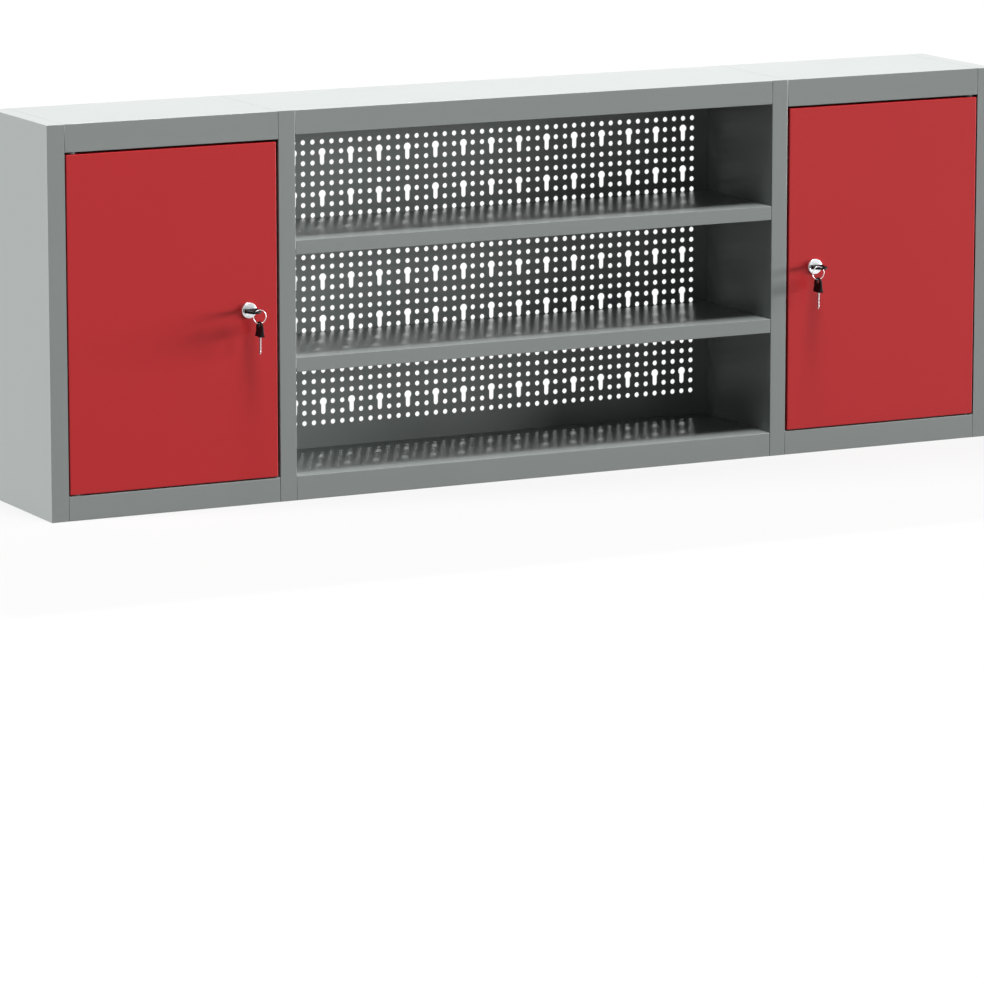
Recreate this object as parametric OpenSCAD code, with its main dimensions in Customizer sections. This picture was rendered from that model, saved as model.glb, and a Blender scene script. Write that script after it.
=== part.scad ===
// Wall tool cabinet: an open centre bay with two shelves and a perforated back,
// between two lockable bays behind flush doors on pivot pins.
// Millimetres. +X is to the right, +Y into the wall, +Z up.
// The origin is the middle of the underside.

/* [Cabinet] */
// Overall width across both side panels
cabinet_w = 1200; // [1100:10:1300]
// Overall depth from the front frame to the wall
cabinet_d = 160; // [150:5:220]
// Overall height
cabinet_h = 439; // [430:1:520]
// Thickness of the folded steel sheet
sheet_t = 1; // [0.8:0.1:1.2]
// Seam left between the edges of two sheets
seam = 0.4; // [0.2:0.1:0.6]

/* [Front frame] */
// Width of each outer stile
stile_w = 20.5; // [20:0.5:28]
// Width of each partition
partition_w = 20; // [16:1:28]
// Width of each door bay between stile and partition
door_bay_w = 256; // [240:2:290]
// Height of the rail over each door
door_rail_h = 31; // [26:1:45]
// Height of the rail over the centre bay
centre_rail_h = 27; // [20:1:45]
// Height of the bottom rails, whose tops are the floors
bottom_rail_h = 27.5; // [22:0.5:45]
// Depth of the lip folded back from each top rail
rail_lip_d = 18; // [16:1:26]
// Width of the side panel's flanges in the roof and the underside
side_flange_w = 20; // [16:1:30]
// Width of the tabs that carry the edge of the next sheet
tab_w = 12; // [8:1:18]

/* [Shelves] */
// Height of each centre shelf
shelf_h = 16; // [14:1:24]
// Underside of the lower centre shelf
lower_shelf_z = 145.5; // [120:0.5:160]
// Distance from the lower shelf to the upper one
shelf_pitch = 132; // [110:1:140]
// Depth of the lip under each shelf's front edge
shelf_lip_d = 20; // [12:1:24]
// Leg of the angles that carry the shelves
angle_leg = 12; // [9:0.5:12.5]
// Length of the angles that carry the shelves
angle_l = 100; // [60:5:110]
// Underside of the shelf behind each door
bay_shelf_z = 190; // [170:2:230]
// Distance from the front frame to the shelf behind each door
bay_shelf_setback = 40; // [36:1:60]

/* [Backs] */
// Depth of the edges folded forward round each door bay's back
back_edge_d = 12; // [8:1:18]
// Distance from the wall to the face of the perforated sheet
panel_recess = 7; // [5:0.5:12]
// Spacing of the perforation, both ways
hole_pitch = 12; // [11:0.5:16]
// Diameter of the round holes
hole_d = 5.8; // [4:0.1:6.5]
// Diameter of the keyhole heads
keyhole_d = 9; // [7.5:0.1:9.5]
// Width of the keyhole slots
slot_w = 5.6; // [4:0.1:6]
// Least plain margin beside the perforation
side_margin = 20; // [15:1:30]
// Height of the lowest row above the floor
low_margin = 28.9; // [20:0.1:40]
// Least distance from the top row to the centre rail's edge
high_margin = 30; // [20:1:40]
// Diameter of the wall fixing holes
wall_hole_d = 9; // [5:0.5:12]
// Distance from the side of the cabinet to the wall fixing holes
wall_hole_x = 60; // [40:2:90]
// Height of the lower wall fixing holes
wall_hole_z = 80; // [60:2:110]
// Distance between the lower and upper wall fixing holes
wall_hole_rise = 300; // [260:5:310]

/* [Doors] */
// Depth of each folded door
door_t = 16; // [14:0.5:18]
// Gap between door and stile
hinge_gap = 1.5; // [1.2:0.1:2.5]
// Gap between door and partition
lock_gap = 3; // [2:0.1:4]
// Gap over each door
top_gap = 2.7; // [2:0.1:4]
// Gap under each door
bottom_gap = 1.5; // [1.2:0.1:3]
// Width of the lips folded inward round the back of each door
door_lip_w = 10; // [6:1:14]
// Width of the stiffener behind each door's skin
stiffener_w = 60; // [40:2:80]
// Depth of the stiffener
stiffener_d = 12; // [8:1:13]

/* [Hinges] */
// Distance from the stile's edge to the pivot axis
pivot_inset = 9.1; // [9:0.1:12]
// Diameter of the pivot pins
pin_d = 5; // [4:0.5:6]
// Radial running clearance of the pins in their bushes
pin_fit = 0.05; // [0.02:0.01:0.1]
// Wall of the nylon bushes
bush_wall = 1.5; // [1:0.1:2]
// How far each bush's flange reaches past its neck
bush_flange = 2; // [1:0.1:3]
// End play between door and bush
end_play = 0.3; // [0.2:0.05:0.5]
// How far each pin stands past the sheet that holds its bush
pin_reach = 3; // [2:0.5:6]

/* [Locks] */
// Distance from the door's free edge to the lock axis
lock_inset = 34.6; // [30:0.5:40]
// Height of the lock axis
lock_z = 219.4; // [215:0.5:230]
// Diameter of the lock's head
head_d = 18; // [17.5:0.5:24]
// Thickness of the lock's head
head_t = 2.5; // [2:0.1:4]
// Diameter of the lock's barrel
barrel_d = 16; // [15:0.5:17]
// Length of the lock's barrel behind the door's face
barrel_l = 20; // [19:0.5:22]
// Width of the barrel's nut across its flats
nut_af = 20; // [19:1:24]
// Thickness of the barrel's nut
nut_t = 4; // [3:0.5:6]
// Diameter of the turning plug
plug_d = 11; // [10:0.5:12]
// Radial running clearance of the plug
plug_fit = 0.05; // [0.02:0.01:0.1]
// Length of the cam from the lock axis to its tip
cam_l = 45; // [42:0.5:48]
// Width of the cam
cam_w = 14; // [12:0.5:16]
// Thickness of the cam
cam_t = 1.8; // [1.5:0.1:2.5]

/* [Keys] */
// Width of the key's bow
bow_w = 16; // [14:0.5:18]
// Length of the key's bow
bow_l = 17; // [15:0.5:20]
// Thickness of the bow where the blade enters it
bow_root_t = 5; // [3:0.5:6]
// Thickness of the bow at the ring's hole
bow_tip_t = 2.4; // [1.6:0.2:2.6]
// Diameter of the ring's hole in the bow
bow_hole_d = 6; // [5.5:0.1:6.6]
// Distance from the bow's end to the centre of the hole
bow_hole_inset = 4.5; // [4.2:0.1:5.5]
// Gap between the lock's face and the bow
bow_gap = 3; // [2:0.5:5]
// Width of the key's blade
blade_w = 4.8; // [4:0.1:5.2]
// Thickness of the key's blade
blade_t = 1.3; // [1:0.1:1.6]
// Length of the blade past the bow
blade_l = 19.6; // [16:0.2:19.6]
// Radius of the key ring to the middle of its wire
ring_r = 7.6; // [7.4:0.1:8]
// Diameter of the key ring's wire
wire_d = 1.2; // [1:0.1:1.4]

/* [Hidden] */

frame_grey = [0.53, 0.55, 0.545];
shadow_grey = [0.32, 0.33, 0.335];
door_red = [0.70, 0.215, 0.22];
steel = [0.78, 0.79, 0.80];
nylon = [0.88, 0.88, 0.86];
black = [0.06, 0.06, 0.065];

left = 0;
right = 1;
past = 1;                    // how far a cutter runs past the face that it cuts
free_gap = 0.3;              // gap between faces that move past each other
round_fn = 32;

// Planes of the cabinet. The left half is modelled, and the right half is its mirror image.
front_y = -cabinet_d / 2;
rear_y = cabinet_d / 2;
side_x = -cabinet_w / 2;                     // outer face of the left side panel
side_in_x = side_x + sheet_t;                // its inner face
stile_x = side_x + stile_w;                  // edge of the left stile
partition_x = stile_x + door_bay_w;          // left partition's face toward the door bay
centre_x = partition_x + partition_w;        // left partition's face toward the centre bay
roof_z = cabinet_h - sheet_t;                // underside of the roof sheets
door_rail_z = cabinet_h - door_rail_h;
centre_rail_z = cabinet_h - centre_rail_h;
floor_z = bottom_rail_h;
frame_back_y = front_y + sheet_t;            // back of the front frame's sheet
tab_end_y = rear_y - back_edge_d - past;     // roof tabs stop short of the back's folded edge

// Perforated sheet
panel_y = rear_y - panel_recess;             // its face
panel_margin_w = -2 * centre_x - 2 * side_margin;
panel_margin_h = centre_rail_z - floor_z - low_margin - high_margin;
hole_columns = 1 + floor(panel_margin_w / hole_pitch);
hole_rows = 1 + floor(panel_margin_h / hole_pitch);
low_row_z = floor_z + low_margin;
keyhole_every = 3;                           // every third column holds keyholes
keyhole_rise = 4;                            // and every fourth row starts one

// Shelves
upper_shelf_z = lower_shelf_z + shelf_pitch;
bay_shelf_h = angle_leg + sheet_t + 1;
shelf_rear_gap = 0.5;
bay_shelf_y = front_y + bay_shelf_setback;
bay_shelf_rear_y = rear_y - back_edge_d - shelf_rear_gap;

// Doors and their pivots
door_x0 = stile_x + hinge_gap;
door_x1 = partition_x - lock_gap;
door_z0 = floor_z + bottom_gap;
door_z1 = door_rail_z - top_gap;
door_back_y = front_y + door_t;
pivot_x = stile_x + pivot_inset;
pivot_y = front_y + door_t / 2;
pin_r = pin_d / 2;
collar_r = pin_r + 2;
collar_h = 3;
bush_r = pin_r + pin_fit + bush_wall;
bush_seat = 0.1;                             // radial gap round a bush's neck
bush_snap = 0.6;                             // how far its snap rim reaches past the neck
bush_snap_h = 1.4;

// Door stops
stop_leg = 14;
stop_h = 25;
stop_l = 20;
stop_inset = 35;                             // from the door's ends to the stops
bumper_t = 1.2;
bumper_w = 8;
stop_y = door_back_y + free_gap + bumper_t;

// Lock, in its own frame: origin on the door's face, z out toward the user, y up
lock_x = door_x1 - lock_inset;
plug_r = plug_d / 2;
plug_rim = 1;                                // rim that keeps the plug from being pushed through
plug_rear = -barrel_l - free_gap;
boss_w = 6.5;                                // square boss that turns the cam
boss_fit = 0.1;
boss_l = cam_t - 0.2;
screw_r = 1.8;
screw_head_r = 4.5;
screw_head_t = 2.2;
screw_l = 3.6;                               // length of the screw inside the plug
screw_fit = 0.1;
latch_reach = cam_w / 2 + 2;                 // room round the cam in its slot
latch_w = cam_t + 7;
latch_y = front_y + barrel_l + free_gap + cam_t / 2;

// Keys, in their own frame: z along the blade and out of the lock, x across the bow
bow_r = bow_w / 2;
bow_end = bow_gap + bow_l;
bow_hole = bow_end - bow_hole_inset;
bow_hole_r = bow_hole_d / 2;
bow_taper = 7;                               // length over which the bow thins
bow_corner = 1.5;
shank_l = 8;                                 // length of the blade held in the bow
shank_fit = 0.05;
keyway_fit = 0.25;
keyway_l = blade_l - bow_gap + 0.9;
wire_r = wire_d / 2;
tip_l = 2.5;                                 // length of the blade's pointed tip
notch = 0.9;
notches = 3;
notch_pitch = 3.6;

// The ring hangs on the bow's web between the hole and the bow's edge.
ring_inner_r = ring_r - wire_r;
web_edge_x = sqrt(bow_r * bow_r - pow(bow_r - bow_hole_inset, 2));
web_mid_x = (bow_hole_r + web_edge_x) / 2;
web_half = (web_edge_x - bow_hole_r) / 2;
ring_slack = 0.27;                           // gap between the ring and the web's top corners
ring_drop = sqrt(pow(ring_inner_r - ring_slack, 2) - web_half * web_half) - bow_tip_t / 2;
spare_drop = ring_drop + ring_r + bow_hole_r - wire_r - ring_slack;

module slab(low, high) {
    translate(low) cube(high - low);
}

// The left half as modelled, or its mirror image
module on(side) {
    if (side == right) mirror([1, 0, 0]) children();
    else children();
}

// The lock's own frame on the left door
module at_lock() {
    translate([lock_x, front_y, lock_z]) rotate([90, 0, 0]) children();
}

// ---- Carcass ----

module side_panel(side) {
    color(frame_grey) on(side) union() {
        slab([side_x, front_y, 0], [side_in_x, rear_y, cabinet_h]);
        slab([side_x, front_y, 0], [stile_x, frame_back_y, cabinet_h]);
        slab([side_x, front_y, roof_z], [side_x + side_flange_w, rear_y, cabinet_h]);
        slab([side_x, front_y, 0], [side_x + side_flange_w, rear_y, sheet_t]);
        side_panel_tabs();
    }
}

module side_panel_tabs() {
    tab_x = side_x + side_flange_w;
    slab([tab_x - tab_w / 2, frame_back_y, roof_z - sheet_t], [tab_x + tab_w, tab_end_y, roof_z]);
    slab([tab_x - tab_w / 2, frame_back_y, sheet_t], [tab_x + tab_w, rear_y - sheet_t, 2 * sheet_t]);
}

module partition(side) {
    color(frame_grey) on(side) difference() {
        union() {
            slab([partition_x, front_y, 0], [centre_x, frame_back_y, cabinet_h]);
            slab([partition_x, front_y, 0], [partition_x + sheet_t, rear_y, roof_z]);
            slab([centre_x - sheet_t, front_y, 0], [centre_x, rear_y, roof_z]);
            slab([partition_x, front_y, 0], [centre_x, rear_y, sheet_t]);
            slab([partition_x - tab_w, frame_back_y, roof_z - sheet_t], [centre_x, tab_end_y, roof_z]);
            slab(
                [partition_x - tab_w, frame_back_y, sheet_t],
                [centre_x + tab_w, rear_y - sheet_t, 2 * sheet_t]
            );
        }
        latch_slot();
    }
}

// The cam turns down from above into this slot.
module latch_slot() {
    slab(
        [partition_x - past, latch_y - latch_w / 2, lock_z - latch_reach],
        [partition_x + sheet_t + past, latch_y + latch_w / 2, lock_z + latch_reach + cam_l / 2]
    );
}

module roof_panel(x0, x1, rail_x0, rail_x1, rail_z) {
    slab([x0, frame_back_y + seam, roof_z], [x1, rear_y, cabinet_h]);
    slab([rail_x0, front_y, roof_z], [rail_x1, frame_back_y + 2 * seam, cabinet_h]);
    slab([rail_x0, front_y, rail_z], [rail_x1, frame_back_y, cabinet_h]);
    slab([rail_x0, front_y, rail_z], [rail_x1, front_y + rail_lip_d, rail_z + sheet_t]);
}

module bay_roof_panel(side) {
    color(frame_grey) on(side) difference() {
        union() roof_panel(
            side_x + side_flange_w + seam, partition_x - seam / 2,
            stile_x + seam, partition_x - seam, door_rail_z
        );
        bush_hole(door_rail_z);
    }
}

module centre_roof_panel() {
    color(frame_grey) union() roof_panel(
        partition_x + seam / 2, -partition_x - seam / 2,
        centre_x + seam, -centre_x - seam, centre_rail_z
    );
}

// Rail, floor and underside folded from one sheet
module bottom_panel(floor_x0, floor_x1, x0, x1, rail_x0, rail_x1) {
    slab([rail_x0, front_y, 0], [rail_x1, frame_back_y, floor_z]);
    slab([rail_x0, front_y, floor_z - sheet_t], [rail_x1, frame_back_y + 2 * seam, floor_z]);
    slab([rail_x0, front_y, 0], [rail_x1, frame_back_y + 2 * seam, sheet_t]);
    slab([floor_x0, frame_back_y + seam, floor_z - sheet_t], [floor_x1, rear_y, floor_z]);
    slab([x0, frame_back_y + seam, 0], [x1, rear_y, sheet_t]);
}

module bay_bottom_panel(side) {
    color(frame_grey) on(side) difference() {
        union() bottom_panel(
            side_in_x, partition_x,
            side_x + side_flange_w + seam, partition_x - seam / 2,
            stile_x + seam, partition_x - seam
        );
        bush_hole(floor_z - sheet_t);
    }
}

module centre_bottom_panel() {
    color(frame_grey) union() bottom_panel(
        centre_x, -centre_x,
        centre_x + seam / 2, -centre_x - seam / 2,
        centre_x + seam, -centre_x - seam
    );
}

// ---- Backs ----

module back_panel(side) {
    color(shadow_grey) on(side) difference() {
        slab([side_in_x, rear_y - back_edge_d, floor_z], [partition_x, rear_y, roof_z]);
        slab(
            [side_in_x + sheet_t, rear_y - back_edge_d - past, floor_z + sheet_t],
            [partition_x - sheet_t, rear_y - sheet_t, roof_z - sheet_t]
        );
        for (z = [wall_hole_z, wall_hole_z + wall_hole_rise])
            translate([side_x + wall_hole_x, rear_y + past, z])
                rotate([90, 0, 0]) cylinder(d = wall_hole_d, h = sheet_t + 2 * past, $fn = round_fn);
    }
}

function column_x(column) = (column - (hole_columns - 1) / 2) * hole_pitch;
function row_z(row) = low_row_z + (hole_rows - 1 - row) * hole_pitch;
function in_keyhole_column(column) = column % keyhole_every == 1;
function starts_keyhole(row) = row % keyhole_rise == 1 && row < hole_rows - 1;
function ends_keyhole(row) = row > 0 && starts_keyhole(row - 1);

module keyhole() {
    circle(d = keyhole_d, $fn = round_fn);
    translate([-slot_w / 2, -hole_pitch]) square([slot_w, hole_pitch]);
    translate([0, -hole_pitch]) circle(d = slot_w, $fn = round_fn);
}

module perforation() {
    for (column = [0 : hole_columns - 1], row = [0 : hole_rows - 1])
        translate([column_x(column), row_z(row)])
            if (in_keyhole_column(column) && starts_keyhole(row)) keyhole();
            else if (!in_keyhole_column(column) || !ends_keyhole(row)) circle(d = hole_d, $fn = round_fn);
}

module perforated_back_panel() {
    edge_y = panel_y + sheet_t;
    color(shadow_grey) union() {
        translate([0, edge_y, 0]) rotate([90, 0, 0]) linear_extrude(height = sheet_t) difference() {
            translate([centre_x, floor_z]) square([-2 * centre_x, roof_z - floor_z]);
            perforation();
        }
        slab([centre_x, panel_y, floor_z], [centre_x + sheet_t, rear_y, roof_z]);
        slab([-centre_x - sheet_t, panel_y, floor_z], [-centre_x, rear_y, roof_z]);
        slab([centre_x, panel_y, floor_z], [-centre_x, rear_y, floor_z + sheet_t]);
        slab([centre_x, panel_y, roof_z - sheet_t], [-centre_x, rear_y, roof_z]);
    }
}

// ---- Shelves ----

module shelf(x0, x1, y0, y1, z, height) {
    slab([x0, y0, z + height - sheet_t], [x1, y1, z + height]);
    slab([x0, y0, z], [x1, y0 + sheet_t, z + height]);
    slab([x0, y0, z], [x1, y0 + shelf_lip_d, z + sheet_t]);
    slab([x0, y1 - sheet_t, z], [x1, y1, z + height]);
}

module centre_shelf(z) {
    color(frame_grey) union()
        shelf(centre_x + seam, -centre_x - seam, front_y, panel_y - shelf_rear_gap, z, shelf_h);
}

module bay_shelf(side) {
    color(frame_grey) on(side) union() shelf(
        side_in_x + seam, partition_x - seam,
        bay_shelf_y, bay_shelf_rear_y, bay_shelf_z, bay_shelf_h
    );
}

// An angle whose foot is on a wall at x and whose other leg carries a sheet at z
module angle(x, toward, y, z) {
    wall_x = toward > 0 ? x : x - sheet_t;
    leg_x = toward > 0 ? x : x - angle_leg;
    slab([wall_x, y - angle_l / 2, z - angle_leg], [wall_x + sheet_t, y + angle_l / 2, z]);
    slab([leg_x, y - angle_l / 2, z - sheet_t], [leg_x + angle_leg, y + angle_l / 2, z]);
}

module shelf_angles() {
    color(frame_grey) for (side = [left, right], z = [lower_shelf_z, upper_shelf_z])
        on(side) union() angle(centre_x, 1, (front_y + panel_y) / 2, z + shelf_h - sheet_t);
}

module bay_shelf_angles() {
    carried_z = bay_shelf_z + bay_shelf_h - sheet_t;
    middle_y = (bay_shelf_y + shelf_lip_d + bay_shelf_rear_y) / 2;
    color(frame_grey) for (side = [left, right]) on(side) {
        union() bay_angle(side_in_x, 1, middle_y, carried_z);
        union() bay_angle(partition_x, -1, middle_y, carried_z);
    }
}

// The shelf behind a door is shallower, and its angles are shortened to suit.
module bay_angle(x, toward, y, z) {
    room = bay_shelf_rear_y - bay_shelf_y - shelf_lip_d - 4 * sheet_t;
    intersection() {
        angle(x, toward, y, z);
        slab([x - angle_leg, y - room / 2, z - angle_leg], [x + angle_leg, y + room / 2, z]);
    }
}

// ---- Hinges ----

module bush_hole(z) {
    translate([pivot_x, pivot_y, z - past])
        cylinder(r = bush_r + bush_seat, h = sheet_t + 2 * past, $fn = round_fn);
}

// A snap-in bush: flange, neck through a sheet at height 0, snap rim above it
module bush(flange_h) {
    bore = pin_r + pin_fit;
    rotate_extrude($fn = round_fn) polygon([
        [bore, -flange_h], [bush_r + bush_flange, -flange_h], [bush_r + bush_flange, 0],
        [bush_r, 0], [bush_r, sheet_t], [bush_r + bush_snap, sheet_t],
        [bush_r, sheet_t + bush_snap_h], [bore, sheet_t + bush_snap_h]
    ]);
}

module hinge_bushes() {
    color(nylon) for (side = [left, right]) on(side) {
        translate([pivot_x, pivot_y, door_rail_z]) bush(top_gap - end_play);
        translate([pivot_x, pivot_y, floor_z]) mirror([0, 0, 1]) bush(bottom_gap - end_play);
    }
}

// A pin whose collar bears on the inside of the door's edge at height 0
module hinge_pin(length) {
    rotate_extrude($fn = round_fn) polygon([
        [0, -collar_h], [collar_r, -collar_h], [collar_r, 0], [pin_r, 0],
        [pin_r, length - 0.5], [pin_r - 0.5, length], [0, length]
    ]);
}

module hinge_pins(side) {
    color(steel) on(side) {
        translate([pivot_x, pivot_y, door_z1 - sheet_t])
            hinge_pin(sheet_t + top_gap + sheet_t + pin_reach);
        translate([pivot_x, pivot_y, door_z0 + sheet_t])
            mirror([0, 0, 1]) hinge_pin(sheet_t + bottom_gap + sheet_t + pin_reach);
    }
}

// ---- Doors ----

module door_skin(side) {
    color(door_red) on(side) difference() {
        slab([door_x0, front_y, door_z0], [door_x1, door_back_y, door_z1]);
        slab(
            [door_x0 + sheet_t, front_y + sheet_t, door_z0 + sheet_t],
            [door_x1 - sheet_t, door_back_y - sheet_t, door_z1 - sheet_t]
        );
        slab(
            [door_x0 + door_lip_w, door_back_y - sheet_t - past, door_z0 + door_lip_w],
            [door_x1 - door_lip_w, door_back_y + past, door_z1 - door_lip_w]
        );
        at_lock() translate([0, 0, -sheet_t - past])
            cylinder(r = barrel_d / 2 + shank_fit, h = sheet_t + 2 * past, $fn = round_fn);
        for (z = [door_z0, door_z1 - sheet_t])
            translate([pivot_x, pivot_y, z - past])
                cylinder(r = pin_r + pin_fit, h = sheet_t + 2 * past, $fn = round_fn);
    }
}

// A channel down the middle of the door, open toward the cabinet
module door_stiffener(side) {
    middle_x = (door_x0 + door_x1) / 2;
    z0 = door_z0 + door_lip_w + sheet_t;
    z1 = door_z1 - door_lip_w - sheet_t;
    color(door_red) on(side) translate([middle_x, frame_back_y, z0]) difference() {
        slab([-stiffener_w / 2, 0, 0], [stiffener_w / 2, stiffener_d, z1 - z0]);
        slab(
            [-stiffener_w / 2 + sheet_t, sheet_t, -past],
            [stiffener_w / 2 - sheet_t, stiffener_d + past, z1 - z0 + past]
        );
    }
}

// Angles on the partition that the closed door comes up against
module door_stops() {
    color(frame_grey) for (side = [left, right], z = stop_heights()) on(side) union() {
        slab([partition_x - sheet_t, stop_y, z], [partition_x, stop_y + stop_l, z + stop_h]);
        slab([partition_x - stop_leg, stop_y, z], [partition_x, stop_y + sheet_t, z + stop_h]);
    }
}

module door_bumpers() {
    x = partition_x - lock_gap - sheet_t / 2;
    rise = stop_h / 5;
    color(black) for (side = [left, right], z = stop_heights()) on(side)
        slab([x - bumper_w, stop_y - bumper_t, z + rise], [x, stop_y, z + stop_h - rise]);
}

function stop_heights() = [door_z0 + stop_inset, door_z1 - stop_inset - stop_h];

// ---- Locks ----

module lock_housing(side) {
    bore = plug_r + plug_fit;
    rim = bore + plug_rim;
    edge = 0.8;
    color(steel) on(side) at_lock() rotate_extrude($fn = 2 * round_fn) polygon([
        [bore, -barrel_l], [barrel_d / 2, -barrel_l], [barrel_d / 2, 0], [head_d / 2, 0],
        [head_d / 2, head_t - edge], [head_d / 2 - edge, head_t], [rim, head_t],
        [rim, head_t - plug_rim - plug_fit], [bore, head_t - plug_rim - plug_fit]
    ]);
}

module lock_nut(side) {
    color(steel) on(side) at_lock() translate([0, 0, -sheet_t - nut_t]) difference() {
        cylinder(d = nut_af / cos(30), h = nut_t, $fn = 6);
        translate([0, 0, -past])
            cylinder(r = barrel_d / 2 + shank_fit, h = nut_t + 2 * past, $fn = round_fn);
    }
}

module lock_plug(side) {
    color(steel) on(side) at_lock() difference() {
        union() {
            translate([0, 0, plug_rear]) cylinder(r = plug_r, h = head_t - plug_rear, $fn = 2 * round_fn);
            translate([0, 0, head_t - plug_rim])
                cylinder(r = plug_r + plug_rim, h = plug_rim, $fn = 2 * round_fn);
            translate([-boss_w / 2, -boss_w / 2, plug_rear - boss_l]) cube([boss_w, boss_w, boss_l]);
        }
        slab(
            [-blade_w / 2 - keyway_fit, -blade_t / 2 - keyway_fit, head_t - keyway_l],
            [blade_w / 2 + keyway_fit, blade_t / 2 + keyway_fit, head_t + past]
        );
        translate([0, 0, plug_rear - boss_l - past])
            cylinder(r = screw_r + screw_fit, h = screw_l + boss_l + past, $fn = round_fn);
    }
}

// The cam points up when the door is unlocked.
module lock_cam(side) {
    hole_w = boss_w + 2 * boss_fit;
    tip_r = cam_w / 4;
    color(steel) on(side) at_lock() translate([0, 0, plug_rear - cam_t])
        linear_extrude(height = cam_t) difference() {
            union() {
                circle(d = cam_w, $fn = round_fn);
                translate([-cam_w / 2, 0]) square([cam_w, cam_l - tip_r]);
                translate([-cam_w / 2 + tip_r, 0]) square([cam_w - 2 * tip_r, cam_l]);
                for (x = [-1, 1])
                    translate([x * (cam_w / 2 - tip_r), cam_l - tip_r]) circle(r = tip_r, $fn = round_fn);
            }
            square([hole_w, hole_w], center = true);
        }
}

module cam_screw(side) {
    color(steel) on(side) at_lock() translate([0, 0, plug_rear - cam_t]) rotate_extrude($fn = round_fn)
        polygon([
            [0, -screw_head_t], [screw_head_r - 1, -screw_head_t], [screw_head_r, -screw_head_t + 1],
            [screw_head_r, 0], [screw_r, 0], [screw_r, screw_l + boss_l - 0.3],
            [0, screw_l + boss_l - 0.3]
        ]);
}

// ---- Keys ----

// Flat blade with notched edges and a pointed tip, its shank inside the bow
module key_blade() {
    tip_z = bow_gap - blade_l;
    half = blade_w / 2;
    color(steel) rotate([90, 0, 0]) translate([0, 0, -blade_t / 2]) linear_extrude(height = blade_t)
        difference() {
            polygon([
                [-half, bow_gap + shank_l], [-half, tip_z + tip_l], [-half / 3, tip_z],
                [half / 3, tip_z], [half, tip_z + tip_l], [half, bow_gap + shank_l]
            ]);
            for (x = [-half, half], i = [1 : notches])
                translate([x, tip_z + tip_l + i * notch_pitch - notch])
                    polygon([[-notch, 0], [0, -notch], [notch, 0], [0, notch]]);
        }
}

module bow_outline() {
    straight = bow_l - bow_r;
    translate([0, bow_gap + straight]) circle(r = bow_r, $fn = 2 * round_fn);
    translate([-bow_r, bow_gap + bow_corner]) square([bow_w, straight - bow_corner]);
    translate([-bow_r + bow_corner, bow_gap]) square([bow_w - 2 * bow_corner, bow_l / 2]);
    for (x = [-1, 1])
        translate([x * (bow_r - bow_corner), bow_gap + bow_corner]) circle(r = bow_corner, $fn = round_fn);
}

// Moulded bow, thick at the blade and thin at the ring's hole
module key_bow() {
    root = bow_root_t / 2;
    tip = bow_tip_t / 2;
    color(black) difference() {
        intersection() {
            rotate([90, 0, 0]) translate([0, 0, -bow_root_t]) linear_extrude(height = 2 * bow_root_t)
                bow_outline();
            rotate([90, 0, 90]) translate([0, 0, -bow_w]) linear_extrude(height = 2 * bow_w) polygon([
                [-root, bow_gap], [root, bow_gap], [tip, bow_gap + bow_taper], [tip, bow_end + past],
                [-tip, bow_end + past], [-tip, bow_gap + bow_taper]
            ]);
        }
        translate([0, bow_root_t, bow_hole]) rotate([90, 0, 0])
            cylinder(r = bow_hole_r, h = 2 * bow_root_t, $fn = round_fn);
        slab(
            [-blade_w / 2 - shank_fit, -blade_t / 2 - shank_fit, bow_gap - past],
            [blade_w / 2 + shank_fit, blade_t / 2 + shank_fit, bow_gap + shank_l + shank_fit]
        );
    }
}

// The key in the lock, then the ring on its bow, then the spare key on the ring
module at_key(side) {
    on(side) at_lock() translate([0, 0, head_t]) children();
}

module key_ring(side) {
    color(steel) at_key(side) translate([web_mid_x, -ring_drop, bow_hole])
        rotate_extrude($fn = 2 * round_fn) translate([ring_r, 0]) circle(r = wire_r, $fn = 16);
}

module at_spare_key(side) {
    at_key(side) translate([web_mid_x, -spare_drop, bow_hole])
        rotate([0, 90, 0]) rotate([-90, 0, 0]) translate([0, 0, -bow_hole]) children();
}

side_panel(left);  // left_side_panel
side_panel(right);  // right_side_panel
partition(left);  // left_partition
partition(right);  // right_partition
bay_roof_panel(left);  // left_roof_panel
centre_roof_panel();
bay_roof_panel(right);  // right_roof_panel
bay_bottom_panel(left);  // left_bottom_panel
centre_bottom_panel();
bay_bottom_panel(right);  // right_bottom_panel
back_panel(left);  // left_back_panel
back_panel(right);  // right_back_panel
perforated_back_panel();
centre_shelf(upper_shelf_z);  // upper_shelf
centre_shelf(lower_shelf_z);  // lower_shelf
shelf_angles();
bay_shelf(left);  // left_bay_shelf
bay_shelf(right);  // right_bay_shelf
bay_shelf_angles();
hinge_bushes();
door_stops();
door_bumpers();
door_skin(left);  // left_door_skin
door_skin(right);  // right_door_skin
door_stiffener(left);  // left_door_stiffener
door_stiffener(right);  // right_door_stiffener
hinge_pins(left);  // left_hinge_pins
hinge_pins(right);  // right_hinge_pins
lock_housing(left);  // left_lock_housing
lock_housing(right);  // right_lock_housing
lock_nut(left);  // left_lock_nut
lock_nut(right);  // right_lock_nut
lock_plug(left);  // left_lock_plug
lock_plug(right);  // right_lock_plug
lock_cam(left);  // left_lock_cam
lock_cam(right);  // right_lock_cam
cam_screw(left);  // left_cam_screw
cam_screw(right);  // right_cam_screw
at_key(left) key_blade();  // left_key_blade
at_key(right) key_blade();  // right_key_blade
at_key(left) key_bow();  // left_key_bow
at_key(right) key_bow();  // right_key_bow
key_ring(left);  // left_key_ring
key_ring(right);  // right_key_ring
at_spare_key(left) key_blade();  // left_spare_key_blade
at_spare_key(right) key_blade();  // right_spare_key_blade
at_spare_key(left) key_bow();  // left_spare_key_bow
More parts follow.
